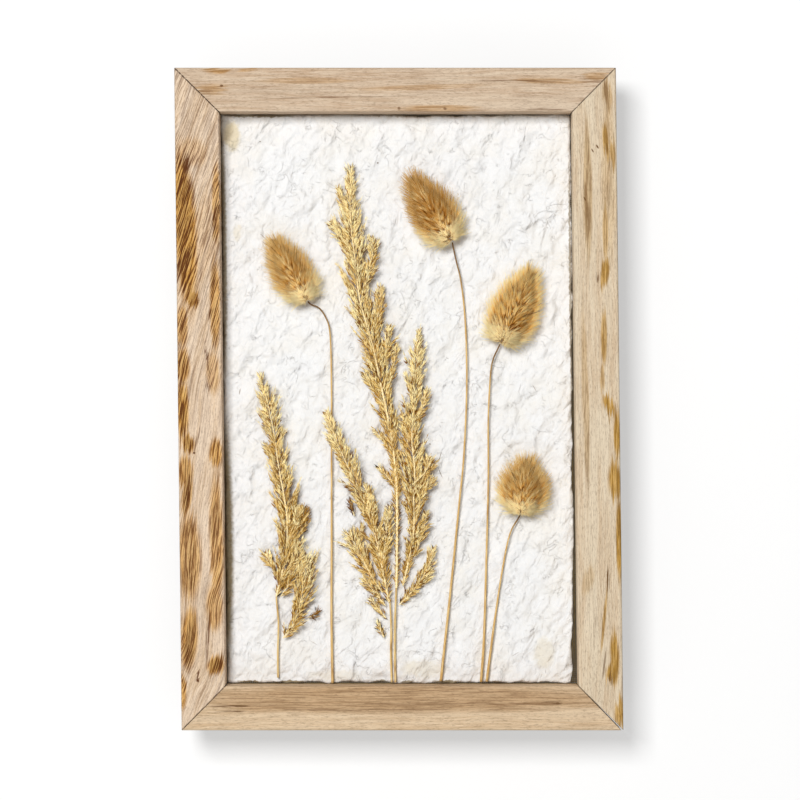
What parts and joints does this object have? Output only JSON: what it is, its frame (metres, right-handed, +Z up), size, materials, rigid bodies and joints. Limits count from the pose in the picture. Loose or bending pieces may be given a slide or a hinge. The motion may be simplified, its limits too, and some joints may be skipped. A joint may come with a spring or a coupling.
{
  "type": "pressed flower frame",
  "caption": "Mitred raw-wood frame holding handmade cotton paper on a wire screen, with dried hare's-tail grass and feathery grass plumes pressed on it.",
  "frame": {"origin": "middle of the top rail's length and width, on the flat back of the frame that lies against the wall", "axes": "+Z up, +X to the right as seen from the front, and the front of the frame looks along -Y"},
  "size_m": [0.2034, 0.016, 0.3],
  "materials": {
    "figured_wood": "raw, coarse sawn fibres, golden and dark brown figure",
    "pale_wood": "raw, unfinished, fine straight grain with brown stains",
    "tan_wood": "raw, unfinished, straight grain",
    "wire_mesh": "dull brown-grey woven wire",
    "cotton_paper": "rough handmade, matt, wrinkled",
    "straw": "dry straw, slight sheen",
    "hare_tail_fur": "soft dry hair",
    "dry_grass": "dry papery florets",
    "dark_grass": "dry, dark brown florets",
    "staple_steel": "bright wire"
  },
  "bodies": {
    "root": {"rail_left": "figured_wood", "rail_right": "pale_wood", "rail_top": "pale_wood", "rail_bottom": "tan_wood", "screen": "wire_mesh", "paper": "cotton_paper", "tail_left_stem": "straw", "tail_upper_stem": "straw", "tail_right_stem": "straw", "tail_low_stem": "straw", "grass_stem_right": "straw", "grass_stem_left": "straw", "small_grass_stem": "straw", "tail_left_head": "hare_tail_fur", "tail_upper_head": "hare_tail_fur", "tail_right_head": "hare_tail_fur", "tail_low_head": "hare_tail_fur", "grass_tall_plume": "dry_grass", "grass_right_plume": "dry_grass", "grass_right_low_spray": "dry_grass", "grass_left_plume": "dry_grass", "grass_low_spray_a": "dry_grass", "grass_low_spray_b": "dry_grass", "grass_low_spray_c": "dry_grass", "grass_loose_floret": "dry_grass", "small_grass_plume": "dry_grass", "small_grass_side_plume": "dry_grass", "grass_dark_tuft": "dark_grass", "small_grass_dark_plume": "dark_grass", "small_grass_dark_tuft": "dark_grass", "staple_top_1": "staple_steel", "staple_top_2": "staple_steel", "staple_top_3": "staple_steel", "staple_bottom_1": "staple_steel", "staple_bottom_2": "staple_steel", "staple_bottom_3": "staple_steel", "staple_left_1": "staple_steel", "staple_left_2": "staple_steel", "staple_left_3": "staple_steel", "staple_left_4": "staple_steel", "staple_left_5": "staple_steel", "staple_right_1": "staple_steel", "staple_right_2": "staple_steel", "staple_right_3": "staple_steel", "staple_right_4": "staple_steel", "staple_right_5": "staple_steel"}
  },
  "joints": []
}
